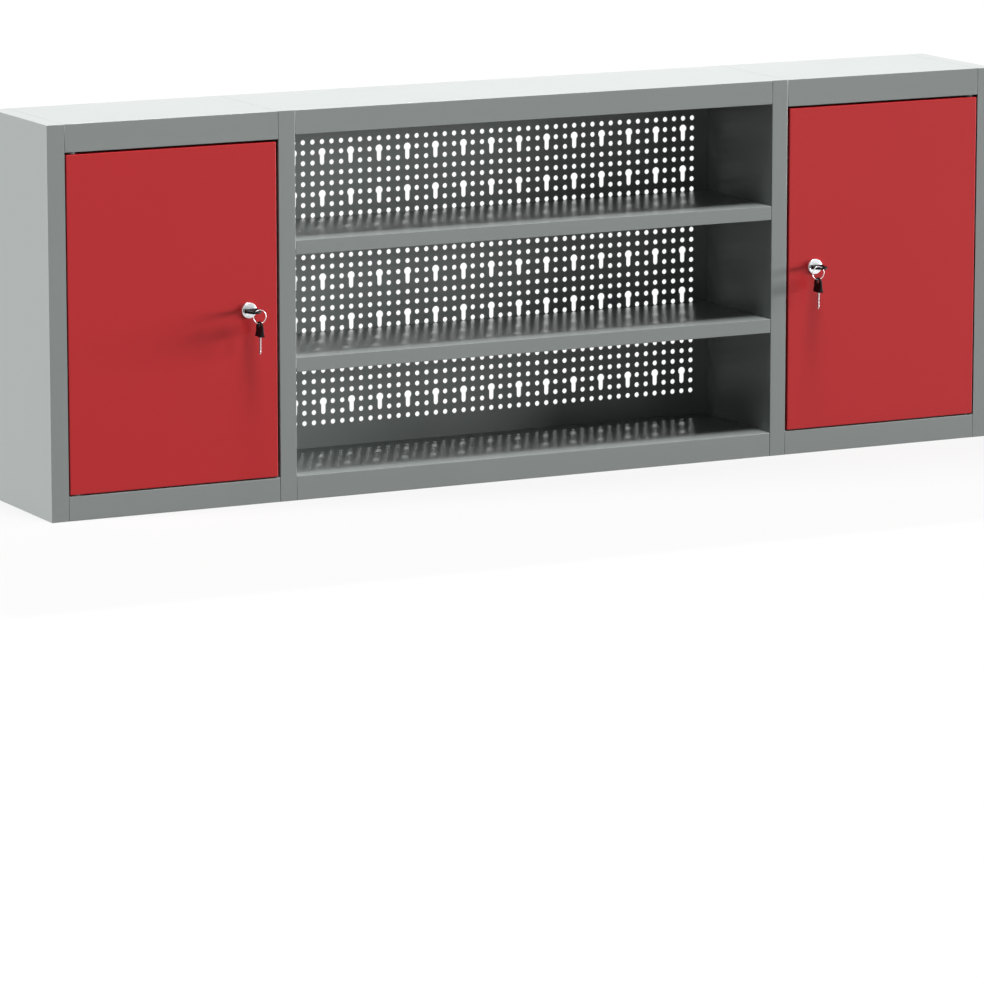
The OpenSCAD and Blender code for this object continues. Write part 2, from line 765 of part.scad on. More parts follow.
at_spare_key(right) key_bow();  // right_spare_key_bow
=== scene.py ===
"""Looks of the wall tool cabinet: folded sheet steel, perforated back, locks, keys and stage.

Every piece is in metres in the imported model's frame: +X to the right, +Y into the wall, +Z up.
"""

import math

import bmesh
import bpy
from bpy.props import FloatProperty, FloatVectorProperty, IntProperty, PointerProperty
from mathutils import Matrix, Vector


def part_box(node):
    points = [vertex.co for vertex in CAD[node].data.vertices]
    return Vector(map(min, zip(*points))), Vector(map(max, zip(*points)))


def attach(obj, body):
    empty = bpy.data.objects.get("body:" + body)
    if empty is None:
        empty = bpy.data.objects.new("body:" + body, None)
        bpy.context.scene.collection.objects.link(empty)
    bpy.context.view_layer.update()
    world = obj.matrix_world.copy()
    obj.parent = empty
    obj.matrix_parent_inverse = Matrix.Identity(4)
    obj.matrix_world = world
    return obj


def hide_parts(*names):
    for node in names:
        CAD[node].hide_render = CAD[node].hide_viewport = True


bl_info = {
    "name": "Wall Tool Cabinet",
    "version": (1, 0, 0),
    "blender": (4, 5, 0),
    "location": "3D View > Sidebar > Cabinet",
    "description": "Dresses a folded sheet-steel wall cabinet and sets its studio",
    "category": "Object",
}

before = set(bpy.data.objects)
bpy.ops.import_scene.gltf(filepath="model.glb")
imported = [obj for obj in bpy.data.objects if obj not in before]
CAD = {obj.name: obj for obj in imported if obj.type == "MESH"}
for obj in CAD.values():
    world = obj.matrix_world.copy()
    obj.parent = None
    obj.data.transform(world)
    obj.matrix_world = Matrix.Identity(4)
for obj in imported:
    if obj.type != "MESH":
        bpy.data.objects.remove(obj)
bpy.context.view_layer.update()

MM = 0.001
SIDES = ("left", "right")
CABINET = "cabinet"

CARCASS_SHEETS = (
    "left_side_panel", "right_side_panel", "left_partition", "right_partition",
    "left_roof_panel", "centre_roof_panel", "right_roof_panel",
    "left_bottom_panel", "centre_bottom_panel", "right_bottom_panel",
    "left_back_panel", "right_back_panel",
)
SHELF_SHEETS = (
    "upper_shelf", "lower_shelf", "shelf_angles",
    "left_bay_shelf", "right_bay_shelf", "bay_shelf_angles", "door_stops",
)

# Points closer than this, in metres, are made one: in a skin, and where flat sheets meet
WELD_WITHIN = 1e-6
SEAM_WITHIN = 1e-5

# Faces that turn less than this are made one flat
FLAT_TURN = math.radians(0.4)

# An edge is rounded if it turns more than this, on a sheet and on any other part
SQUARE_TURN = math.radians(80)
PART_TURN = math.radians(50)

# Least length of a fold or a cut edge, least reach of the faces beside it, both in thicknesses
# of the sheet, and the facets that round it
FOLD_LENGTH, FOLD_REACH, FOLD_FACETS = 4, 2.2, 4
CUT_LENGTH, CUT_REACH, CUT_FACETS = 2, 0.8, 2

# An edge is shaded sharp if it turns more than this
SHEET_SHARP = math.radians(50)
PART_SHARP = math.radians(40)
WIRE_SHARP = math.radians(50)

# Faces that point the same way, faces that point away, and faces that lie on one level
SAME_WAY = 0.999
OTHER_WAY = -0.9
LEVEL_WITHIN = 0.02 * MM

# Places in one cell of the perforation, and points on the outlines of a round hole and of a
# keyhole's head and foot
CELL_COLUMNS, CELL_ROWS = 3, 4
HOLE_POINTS, HEAD_POINTS, FOOT_POINTS = 16, 17, 7

# Steps in one turn of a key ring, and points round its wire
RING_STEPS, WIRE_POINTS = 64, 12

# Stands up what was made lying flat, so that its top faces the front
UPRIGHT = (math.pi / 2, 0.0, 0.0)

# Waves per metre of each broad pattern
COAT_TONE_WAVES = 2.6
COAT_GLOSS_WAVES = 11.0
SCRATCH_WAVES = 260.0
SMUDGE_WAVES = 190.0
MOULD_TONE_WAVES = 120.0

# How far a scratch pattern is squeezed along X, Y and Z
SCRATCH_SQUEEZE = (1.0, 14.0, 9.0)

# Grains of the coat in one wave of its orange peel
GRAINS_PER_WAVE = 5

# Share of each pattern in height, tone or roughness
GRAIN_IN_COAT = 0.22
SMUDGE_IN_TONE = 0.6
MOULD_TONE = 0.3
MOULD_GLOSS = 0.15

# Sockets that share their names with others of their node
COLOUR_A, COLOUR_B, COLOUR_RESULT = 6, 7, 2
WHOLE_A, WHOLE_B = 2, 3

# Name, turn from the front to the right, height and softness in degrees
LAMPS = (
    ("side", 78, 2, 20),
    ("slant", 59, 2, 14),
    ("over", 0, 79, 14),
    ("left", -98, 20, 14),
    ("back", 152, 40.5, 2.5),
)
LAMP_DISTANCE = 4
FLOOR_HALF_WIDTH = 30.0
WHITE = (1.0, 1.0, 1.0, 1.0)


# ---- Sizes and colours ----

def length(name, default_mm, description):
    return FloatProperty(
        name=name, default=default_mm * MM, min=0, unit="LENGTH", precision=5,
        description=description,
    )


def share(name, default, description):
    return FloatProperty(
        name=name, default=default, min=0, max=1, subtype="FACTOR", description=description,
    )


def colour(name, default, description):
    return FloatVectorProperty(
        name=name, default=default, size=3, min=0, max=1, subtype="COLOR_GAMMA",
        description=description,
    )


def lamp_level(name, default, description):
    return FloatProperty(
        name=name, default=default, min=0,
        description=description + ". At 1 it shows a surface that faces it in its own colour",
    )


class CabinetSheetSettings(bpy.types.PropertyGroup):
    """Folded sheet steel and its powder coat"""

    thickness: length("Sheet", 1, "Thickness of the steel")
    fold_radius: length("Fold Radius", 0.9, "Outer radius of a fold")
    cut_radius: length("Cut Radius", 0.14, "Radius that the coat gives a cut edge")
    grey: colour("Grey", (0.515, 0.535, 0.53), "Coat of the carcass and shelves")
    red: colour("Red", (0.70, 0.143, 0.156), "Coat of the doors")
    roughness: share("Coat Roughness", 0.31, "Roughness of the coat")
    peel: length("Orange Peel", 3.2, "Distance between the waves of the coat")
    peel_depth: length("Peel Depth", 0.018, "Height of those waves")


class CabinetPerforationSettings(bpy.types.PropertyGroup):
    """The hook holes of the centre bay's back"""

    pitch: length("Pitch", 12, "Distance between holes, both ways")
    hole_radius: length("Hole Radius", 2.9, "Radius of the round holes")
    head_radius: length("Keyhole Radius", 4.5, "Radius of the keyhole heads")
    slot_width: length("Slot Width", 5.6, "Width of the keyhole slots")
    low_margin: length("Low Margin", 28.9, "Height of the lowest row above the sheet's lower edge")
    cells_across: IntProperty(
        name="Cells Across", default=16, min=1, description="Groups of columns",
    )
    cells_up: IntProperty(name="Cells Up", default=7, min=1, description="Groups of rows")


class CabinetLockSettings(bpy.types.PropertyGroup):
    """Locks and keys"""

    edge_radius: length("Lock Edge", 0.18, "Radius on the edges of the lock's metal parts")
    bow_radius: length("Bow Edge", 0.55, "Radius on the edges of a key's bow")
    blade_margin: length(
        "Blade Margin", 0.85, "Metal left beside the groove milled in each side of a blade",
    )
    bow_rim: length("Bow Rim", 1.6, "Width of the raised rim round a bow and its hole")
    groove_depth: length(
        "Groove Depth", 0.25, "Depth of a blade's grooves, and of a bow's flats below its rim",
    )
    ring_radius: length("Ring Radius", 7.6, "Radius of a key ring to the middle of its wire")
    wire_width: length("Wire Width", 0.9, "Width of the ring's flat wire, along a radius")
    wire_thickness: length(
        "Wire Thickness", 0.6, "Thickness of that wire, and the rise of its two turns together",
    )
    chrome: colour("Chrome", (0.86, 0.87, 0.88), "Lock plating")
    steel: colour("Steel", (0.80, 0.805, 0.815), "Blades, rings, nuts, cams, screws and pins")
    black: colour("Black", (0.02, 0.02, 0.024), "Key bows and bumpers")
    nylon: colour("Nylon", (0.36, 0.36, 0.355), "Hinge bushes")


class CabinetStageSettings(bpy.types.PropertyGroup):
    """Camera, floor and lamps"""

    lens: FloatProperty(
        name="Lens", default=218.6, min=1, unit="CAMERA", description="Focal length",
    )
    aim: FloatVectorProperty(
        name="Aim", default=(-0.0589, -0.08, -0.0114), unit="LENGTH",
        description="Point at the picture's centre",
    )
    distance: FloatProperty(
        name="Distance", default=6.797, unit="LENGTH", description="From camera to aim",
    )
    turn: FloatProperty(
        name="Turn", default=math.radians(26.91), subtype="ANGLE",
        description="How far left of the front it stands",
    )
    rise: FloatProperty(
        name="Rise", default=math.radians(10.728), subtype="ANGLE",
        description="How far it looks down",
    )
    floor: colour("Floor", (0.35, 0.35, 0.35), "Floor, as it lights the object from below")
    floor_seen: colour(
        "Floor in View", (0.69, 0.69, 0.69), "Floor where it is looked at, under its glow",
    )
    floor_glow: share(
        "Floor Glow", 0.75, "How far the floor is lifted to white where it is looked at",
    )
    fill: lamp_level("Fill", 0.06, "Sky")
    side: lamp_level("Side", 2.5, "Lamp at the right, grazing the doors")
    slant: lamp_level("Slant", 0.5, "Lamp in front at the right, which reaches the perforated back")
    over: lamp_level("Over", 1.3, "Lamp above the front")
    left: lamp_level("Left", 1.48, "Lamp at the left, behind the front")
    back: lamp_level("Back", 0.65, "Lamp behind the right, which shines through the holes")


GROUPS = {
    "cabinet_sheet": CabinetSheetSettings,
    "cabinet_perforation": CabinetPerforationSettings,
    "cabinet_lock": CabinetLockSettings,
    "cabinet_stage": CabinetStageSettings,
}


def linear(gamma_colour):
    """The scene-linear value, with alpha, of a colour written as it looks on a screen."""
    values = [c / 12.92 if c <= 0.04045 else ((c + 0.055) / 1.055) ** 2.4 for c in gamma_colour]
    return (*values, 1.0)


# ---- Node trees ----

class TreeBuilder:
    """Adds nodes to a tree, with values or links for their inputs."""

    def __init__(self, tree):
        self.tree = tree

    def add(self, kind, inputs=None, **attributes):
        made = self.tree.nodes.new(kind)
        for name, value in attributes.items():
            setattr(made, name, value)
        for name, value in (inputs or {}).items():
            socket = made.inputs[name]
            if isinstance(value, bpy.types.NodeSocket):
                self.link(value, socket)
            else:
                socket.default_value = value
        return made

    def math(self, operation, first, second=0.0):
        return self.add("ShaderNodeMath", {0: first, 1: second}, operation=operation).outputs[0]

    def join(self, *parts):
        joined = self.add("GeometryNodeJoinGeometry")
        for part in parts:
            self.link(part, joined.inputs[0])
        return joined.outputs[0]

    def link(self, source, target):
        self.tree.links.new(source, target)


def new_group(name, kind, inputs, outputs):
    """A node group with named sockets: the group, its builder and what it is given."""
    tree = bpy.data.node_groups.new(name, kind)
    for direction, sockets in (("INPUT", inputs), ("OUTPUT", outputs)):
        for socket, socket_kind in sockets:
            tree.interface.new_socket(
                socket, in_out=direction, socket_type="NodeSocket" + socket_kind,
            )
    build = TreeBuilder(tree)
    return tree, build, build.add("NodeGroupInput").outputs


def seen_directly(build):
    """1 for rays from the camera or from a mirror or glass, else 0."""
    path = build.add("ShaderNodeLightPath").outputs
    reflected = build.math("MAXIMUM", path["Is Glossy Ray"], path["Is Transmission Ray"])
    return build.math("MAXIMUM", path["Is Camera Ray"], reflected)


# ---- Surface detail shared by the materials ----

DETAIL_OUTPUTS = (("Colour", "Color"), ("Roughness", "Float"), ("Height", "Float"))


def own_place(build):
    return build.add("ShaderNodeTexCoord").outputs["Object"]


def noise(build, place, scale, detail):
    """Soft noise from 0 to 1."""
    inputs = {"Vector": place, "Scale": scale, "Detail": detail}
    return build.add("ShaderNodeTexNoise", inputs).outputs[0]


def drift(build, place, scale, detail):
    """Soft noise that goes both ways from 0."""
    return build.math("SUBTRACT", noise(build, place, scale, detail), 0.5)


def toned(build, tint, change, strength):
    """A colour that a drift makes lighter and darker."""
    tone = build.math("ADD", build.math("MULTIPLY", change, strength), 1.0)
    inputs = {0: tint, "Scale": tone}
    return build.add("ShaderNodeVectorMath", inputs, operation="SCALE").outputs[0]


def coat_detail():
    """Powder coat: orange peel, fine grain, and slight drift of tone and gloss."""
    tree, build, given = new_group("powder_coat_detail", "ShaderNodeTree", (
        ("Colour", "Color"), ("Tone Drift", "Float"), ("Gloss", "Float"),
        ("Gloss Drift", "Float"), ("Peel", "Float"), ("Grain", "Float"),
    ), DETAIL_OUTPUTS)
    place = own_place(build)
    tone = drift(build, place, COAT_TONE_WAVES, 3.0)
    gloss = drift(build, place, COAT_GLOSS_WAVES, 2.0)
    waves = noise(build, place, given["Peel"], 1.0)
    grain = noise(build, place, given["Grain"], 2.0)
    build.add("NodeGroupOutput", {
        "Colour": toned(build, given["Colour"], tone, given["Tone Drift"]),
        "Roughness": build.math(
            "ADD", given["Gloss"], build.math("MULTIPLY", gloss, given["Gloss Drift"]),
        ),
        "Height": build.math("ADD", waves, build.math("MULTIPLY", grain, GRAIN_IN_COAT)),
    })
    return tree


def metal_detail():
    """Fine scratches and smudges of plated metal."""
    tree, build, given = new_group("plated_metal_detail", "ShaderNodeTree", (
        ("Colour", "Color"), ("Roughness", "Float"), ("Smudge", "Float"), ("Scratch", "Float"),
    ), DETAIL_OUTPUTS)
    place = own_place(build)
    inputs = {"Vector": place, "Scale": SCRATCH_SQUEEZE}
    squeezed = build.add("ShaderNodeMapping", inputs).outputs[0]
    scratches = noise(build, squeezed, SCRATCH_WAVES, 4.0)
    smudges = drift(build, place, SMUDGE_WAVES, 3.0)
    smudge = build.math("MULTIPLY", smudges, given["Smudge"])
    build.add("NodeGroupOutput", {
        "Colour": toned(build, given["Colour"], smudge, SMUDGE_IN_TONE),
        "Roughness": build.math("ADD", given["Roughness"], smudge),
        "Height": build.math("MULTIPLY", scratches, given["Scratch"]),
    })
    return tree


def moulded_detail():
    """The even spark-eroded grain of a moulding."""
    tree, build, given = new_group("moulded_detail", "ShaderNodeTree", (
        ("Colour", "Color"), ("Roughness", "Float"), ("Grain", "Float"),
    ), DETAIL_OUTPUTS)
    place = own_place(build)
    grain = noise(build, place, given["Grain"], 2.0)
    cloud = drift(build, place, MOULD_TONE_WAVES, 2.0)
    build.add("NodeGroupOutput", {
        "Colour": toned(build, given["Colour"], cloud, MOULD_TONE),
        "Roughness": build.math(
            "ADD", given["Roughness"], build.math("MULTIPLY", cloud, MOULD_GLOSS),
        ),
        "Height": grain,
    })
    return tree


def finish(name, detail, values, bump_depth, metallic=0.0, specular=0.5):
    """A material whose shader takes colour, roughness and height from a detail group."""
    material = bpy.data.materials.new(name)
    material.use_nodes = True
    build = TreeBuilder(material.node_tree)
    shader = material.node_tree.nodes["Principled BSDF"]
    group = build.add("ShaderNodeGroup", node_tree=detail)
    for socket, value in values.items():
        group.inputs[socket].default_value = value
    build.link(group.outputs["Colour"], shader.inputs["Base Color"])
    build.link(group.outputs["Roughness"], shader.inputs["Roughness"])
    inputs = {"Height": group.outputs["Height"], "Distance": bump_depth}
    bump = build.add("ShaderNodeBump", inputs)
    build.link(bump.outputs["Normal"], shader.inputs["Normal"])
    shader.inputs["Metallic"].default_value = metallic
    shader.inputs["Specular IOR Level"].default_value = specular


def make_materials(sheet, lock):
    coat, plating, moulding = coat_detail(), metal_detail(), moulded_detail()

    def powder(name, tint):
        finish(name, coat, {
            "Colour": linear(tint), "Tone Drift": 0.05,
            "Gloss": sheet.roughness, "Gloss Drift": 0.05,
            "Peel": 1 / sheet.peel, "Grain": GRAINS_PER_WAVE / sheet.peel,
        }, sheet.peel_depth, specular=0.28)

    def plated(name, tint, roughness, scratch_depth):
        finish(name, plating, {
            "Colour": linear(tint), "Roughness": roughness, "Smudge": 0.18, "Scratch": 1.0,
        }, scratch_depth, metallic=1.0)

    def moulded(name, tint, roughness, grain_depth):
        finish(name, moulding, {
            "Colour": linear(tint), "Roughness": roughness, "Grain": 2600.0,
        }, grain_depth, specular=0.12)

    powder("grey_coat", sheet.grey)
    powder("red_coat", sheet.red)
    plated("lock_chrome", lock.chrome, roughness=0.36, scratch_depth=0.002 * MM)
    plated("key_steel", lock.steel, roughness=0.34, scratch_depth=0.006 * MM)
    moulded("bow_plastic", lock.black, roughness=0.48, grain_depth=0.02 * MM)
    moulded("bumper_rubber", lock.black, roughness=0.75, grain_depth=0.04 * MM)
    moulded("bush_nylon", lock.nylon, roughness=0.55, grain_depth=0.01 * MM)


# ---- Meshes ----

def new_object(name, data):
    made = bpy.data.objects.new(name, data)
    bpy.context.scene.collection.objects.link(made)
    return made


def place_piece(piece, body, node):
    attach(piece, body)
    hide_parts(node)


def welded_copy(node):
    """A CAD node's mesh as one joined skin of flat faces."""
    shell = bmesh.new()
    shell.from_mesh(CAD[node].data)
    bmesh.ops.remove_doubles(shell, verts=shell.verts, dist=WELD_WITHIN)
    bmesh.ops.dissolve_limit(
        shell, angle_limit=FLAT_TURN, verts=shell.verts, edges=shell.edges,
    )
    return shell


def reach(face, edge):
    """How far a face stretches away from one of its edges."""
    start = edge.verts[0].co
    along = (edge.verts[1].co - start).normalized()
    return max(((v.co - start) - (v.co - start).dot(along) * along).length for v in face.verts)


def sharp_edges(shell, least_turn, shortest):
    return [
        e for e in shell.edges
        if len(e.link_faces) == 2 and e.is_convex
        and e.calc_face_angle(0) > least_turn and e.calc_length() > shortest
    ]


def round_edges(shell, edges, radius, facets):
    if edges:
        bmesh.ops.bevel(
            shell, geom=edges, offset=radius, offset_type="OFFSET", segments=facets,
            profile=0.5, affect="EDGES", clamp_overlap=True, miter_outer="SHARP",
        )


def skin_object(name, shell, material, sharp_turn):
    mesh = bpy.data.meshes.new(name)
    shell.to_mesh(mesh)
    shell.free()
    mesh.shade_smooth()
    mesh.set_sharp_from_angle(angle=sharp_turn)
    mesh.materials.append(bpy.data.materials[material])
    made = new_object(name, mesh)
    made.modifiers.new("Flat faces stay flat", "WEIGHTED_NORMAL").keep_sharp = True
    return made


def folded_sheet(node, body, material):
    """A sheet node with rounded folds and softened cut edges."""
    sheet = bpy.context.scene.cabinet_sheet
    shell = welded_copy(node)
    for least_length, least_reach, radius, facets in (
        (FOLD_LENGTH, FOLD_REACH, sheet.fold_radius, FOLD_FACETS),
        (CUT_LENGTH, CUT_REACH, sheet.cut_radius, CUT_FACETS),
    ):
        edges = [
            e for e in sharp_edges(shell, SQUARE_TURN, least_length * sheet.thickness)
            if min(reach(f, e) for f in e.link_faces) > least_reach * sheet.thickness
        ]
        round_edges(shell, edges, radius, facets)
    place_piece(skin_object(node + "_sheet", shell, material, SHEET_SHARP), body, node)


def recess_flats(shell, margin, depth):
    """Sinks a plate's two broad flats, with a raised margin round their outlines and holes."""
    by_size = sorted(shell.faces, key=lambda face: -face.calc_area())
    broad = by_size[0]
    opposite = next(f for f in by_size if f.normal.dot(broad.normal) < OTHER_WAY)
    for normal, point in [(f.normal.copy(), f.verts[0].co.copy()) for f in (broad, opposite)]:
        flats = [
            f for f in shell.faces
            if f.normal.dot(normal) > SAME_WAY
            and abs((f.verts[0].co - point).dot(normal)) < LEVEL_WITHIN
        ]
        bmesh.ops.inset_region(
            shell, faces=flats, thickness=margin, depth=-depth, use_even_offset=True,
        )


def machined_part(node, body, material, radius, facets=2, margin=0.0, depth=0.0):
    """A turned, stamped or moulded node: edges eased, and flats sunk where a margin is given."""
    shell = welded_copy(node)
    if margin:
        recess_flats(shell, margin, depth)
    round_edges(shell, sharp_edges(shell, PART_TURN, radius), radius, facets)
    place_piece(skin_object(node + "_part", shell, material, PART_SHARP), body, node)


# ---- Shapes made by Geometry Nodes ----

def rectangle(build, width, height):
    inputs = {"Width": width, "Height": height}
    return build.add("GeometryNodeCurvePrimitiveQuadrilateral", inputs).outputs[0]


def circle(build, points, radius):
    inputs = {"Resolution": points, "Radius": radius}
    return build.add("GeometryNodeCurvePrimitiveCircle", inputs).outputs[0]


def grid(build, width, height, across, up):
    inputs = {"Size X": width, "Size Y": height, "Vertices X": across, "Vertices Y": up}
    return build.add("GeometryNodeMeshGrid", inputs).outputs["Mesh"]


def realized(build, instances):
    return build.add("GeometryNodeRealizeInstances", {"Geometry": instances}).outputs[0]


def filled(build, *outlines):
    """The flat faces inside closed outlines, with a hole where one lies inside another."""
    inputs = {"Curve": build.join(*outlines)}
    return build.add("GeometryNodeFillCurve", inputs, mode="TRIANGLES").outputs[0]


def shifted(build, geometry, **offset):
    """The geometry moved along X, Y or Z."""
    move = build.add("ShaderNodeCombineXYZ", offset).outputs[0]
    inputs = {"Geometry": geometry, "Offset": move}
    return build.add("GeometryNodeSetPosition", inputs).outputs[0]


def welded(build, geometry, distance):
    inputs = {"Geometry": geometry, "Distance": distance}
    return build.add("GeometryNodeMergeByDistance", inputs).outputs[0]


def thickened(build, flat, thickness):
    """One closed plate, with its top at the flat faces and its underside a thickness lower."""
    base = shifted(build, flat, Z=build.math("MULTIPLY", thickness, -1.0))
    inputs = {"Mesh": base, "Offset Scale": thickness, "Individual": False}
    raised = build.add("GeometryNodeExtrudeMesh", inputs, mode="FACES").outputs[0]
    underside = build.add("GeometryNodeFlipFaces", {"Mesh": base}).outputs[0]
    return welded(build, build.join(raised, underside), WELD_WITHIN)


def finish_upright(build, geometry, material):
    """Ends a tree: the shape stands up, is real mesh and has its material."""
    inputs = {"Geometry": geometry, "Rotation": UPRIGHT}
    made = realized(build, build.add("GeometryNodeTransform", inputs).outputs[0])
    inputs = {"Geometry": made, "Material": material}
    painted = build.add("GeometryNodeSetMaterial", inputs).outputs[0]
    build.add("NodeGroupOutput", {"Geometry": painted})


def grown_mesh(name, tree, inputs, place):
    """Runs a Geometry Nodes tree once and returns its result as a plain mesh at its place."""
    seed = new_object(name + "_seed", bpy.data.meshes.new(name + "_seed"))
    modifier = seed.modifiers.new(name, "NODES")
    modifier.node_group = tree
    sockets = {
        item.name: item.identifier for item in tree.interface.items_tree
        if item.item_type == "SOCKET" and item.in_out == "INPUT"
    }
    for socket, value in inputs.items():
        modifier[sockets[socket]] = value
    depsgraph = bpy.context.evaluated_depsgraph_get()
    mesh = bpy.data.meshes.new_from_object(seed.evaluated_get(depsgraph))
    seed.modifiers.remove(modifier)
    bpy.data.objects.remove(seed)
    mesh.name = name
    mesh.transform(Matrix.Translation(place))
    return mesh


def keyhole(build, pitch, head_radius, slot_width):
    """A keyhole's outline: an arc round the head and a half circle at the slot's foot."""
    half_slot = build.math("MULTIPLY", slot_width, 0.5)
    index = build.add("GeometryNodeInputIndex").outputs[0]
    in_head = build.math("LESS_THAN", index, HEAD_POINTS - 0.5)
    corner = build.math("ARCSINE", build.math("DIVIDE", half_slot, head_radius))
    head_start = build.math("SUBTRACT", corner, math.pi / 2)
    head_sweep = build.math("SUBTRACT", 2 * math.pi, build.math("MULTIPLY", corner, 2.0))
    head_share = build.math("DIVIDE", index, HEAD_POINTS - 1)
    head_angle = build.math("ADD", head_start, build.math("MULTIPLY", head_share, head_sweep))
    foot_index = build.math("SUBTRACT", index, HEAD_POINTS)
    foot_share = build.math("DIVIDE", foot_index, FOOT_POINTS - 1)
    foot_angle = build.math("ADD", math.pi, build.math("MULTIPLY", foot_share, math.pi))

    def choose(head, foot):
        inputs = {"Factor": in_head, "A": foot, "B": head}
        return build.add("ShaderNodeMix", inputs, clamp_factor=True).outputs["Result"]

    angle = choose(head_angle, foot_angle)
    radius = choose(head_radius, half_slot)
    half_pitch = build.math("MULTIPLY", pitch, 0.5)
    centre = choose(half_pitch, build.math("MULTIPLY", half_pitch, -1.0))
    x = build.math("MULTIPLY", build.math("COSINE", angle), radius)
    y = build.math("ADD", build.math("MULTIPLY", build.math("SINE", angle), radius), centre)
    place = build.add("ShaderNodeCombineXYZ", {"X": x, "Y": y}).outputs[0]
    inputs = {"Count": HEAD_POINTS + FOOT_POINTS, "Position": place}
    points = build.add("GeometryNodePoints", inputs).outputs[0]
    inputs = {"Points": points, "Weight": index}
    line = build.add("GeometryNodePointsToCurves", inputs).outputs[0]
    inputs = {"Geometry": line, "Cyclic": True}
    return build.add("GeometryNodeSetSplineCyclic", inputs).outputs[0]


def punched_cell(build, given, width, height):
    """A cell of round holes, with a keyhole in place of the middle two."""
    pitch = given["Pitch"]
    position = build.add("GeometryNodeInputPosition").outputs[0]
    place = build.add("ShaderNodeSeparateXYZ", {0: position}).outputs
    half_pitch = build.math("MULTIPLY", pitch, 0.5)
    in_column = build.math("LESS_THAN", build.math("ABSOLUTE", place["X"]), half_pitch)
    in_rows = build.math("LESS_THAN", build.math("ABSOLUTE", place["Y"]), pitch)
    round_here = build.math("SUBTRACT", 1.0, build.math("MULTIPLY", in_column, in_rows))
    spots = grid(
        build, build.math("MULTIPLY", pitch, CELL_COLUMNS - 1),
        build.math("MULTIPLY", pitch, CELL_ROWS - 1), CELL_COLUMNS, CELL_ROWS,
    )
    hole = circle(build, HOLE_POINTS, given["Hole Radius"])
    inputs = {"Points": spots, "Selection": round_here, "Instance": hole}
    holes = build.add("GeometryNodeInstanceOnPoints", inputs).outputs[0]
    return filled(
        build, realized(build, holes),
        keyhole(build, pitch, given["Head Radius"], given["Slot Width"]),
        rectangle(build, width, height),
    )


def perforated_sheet_tree():
    """A field of punched cells in a plain margin, with its edges folded back to the wall."""
    tree, build, given = new_group("perforated_sheet", "GeometryNodeTree", (
        ("Geometry", "Geometry"), ("Width", "Float"), ("Height", "Float"),
        ("Low Margin", "Float"), ("Pitch", "Float"), ("Hole Radius", "Float"),
        ("Head Radius", "Float"), ("Slot Width", "Float"), ("Thickness", "Float"),
        ("Rim", "Float"), ("Cells Across", "Int"), ("Cells Up", "Int"),
        ("Material", "Material"),
    ), (("Geometry", "Geometry"),))
    pitch, thickness = given["Pitch"], given["Thickness"]
    across, up = given["Cells Across"], given["Cells Up"]
    cell_width = build.math("MULTIPLY", pitch, CELL_COLUMNS)
    cell_height = build.math("MULTIPLY", pitch, CELL_ROWS)
    field_width = build.math("MULTIPLY", cell_width, across)
    field_height = build.math("MULTIPLY", cell_height, up)
    foot = build.math("SUBTRACT", given["Low Margin"], build.math("MULTIPLY", pitch, 0.5))
    spare = build.math("SUBTRACT", field_height, given["Height"])
    field_rise = build.math("ADD", foot, build.math("MULTIPLY", spare, 0.5))

    # The field of cells
    centres = grid(
        build, build.math("SUBTRACT", field_width, cell_width),
        build.math("SUBTRACT", field_height, cell_height), across, up,
    )
    cell = punched_cell(build, given, cell_width, cell_height)
    inputs = {"Points": centres, "Instance": cell}
    cells = build.add("GeometryNodeInstanceOnPoints", inputs).outputs[0]
    field = shifted(build, realized(build, cells), Y=field_rise)

    # The plain margin, which meets the field corner to corner
    cell_lines = grid(
        build, field_width, field_height,
        build.math("ADD", across, 1.0), build.math("ADD", up, 1.0),
    )
    faces_beside = build.add("GeometryNodeInputMeshEdgeNeighbors").outputs[0]
    on_border = build.add(
        "FunctionNodeCompare", {WHOLE_A: faces_beside, WHOLE_B: 1},
        data_type="INT", operation="EQUAL",
    ).outputs[0]
    inputs = {"Mesh": cell_lines, "Selection": on_border}
    border = build.add("GeometryNodeMeshToCurve", inputs).outputs[0]
    outline = rectangle(build, given["Width"], given["Height"])
    margin = filled(build, outline, shifted(build, border, Y=field_rise))
    flat = welded(build, build.join(field, margin), SEAM_WITHIN)
    plate = thickened(build, flat, thickness)

    # The edges folded back to the wall
    both_walls = build.math("MULTIPLY", thickness, 2.0)
    inner = rectangle(
        build, build.math("SUBTRACT", given["Width"], both_walls),
        build.math("SUBTRACT", given["Height"], both_walls),
    )
    rim = thickened(build, filled(build, outline, inner), given["Rim"])
    placed_rim = shifted(build, rim, Z=build.math("MULTIPLY", thickness, -1.0))
    finish_upright(build, build.join(plate, placed_rim), given["Material"])
    return tree


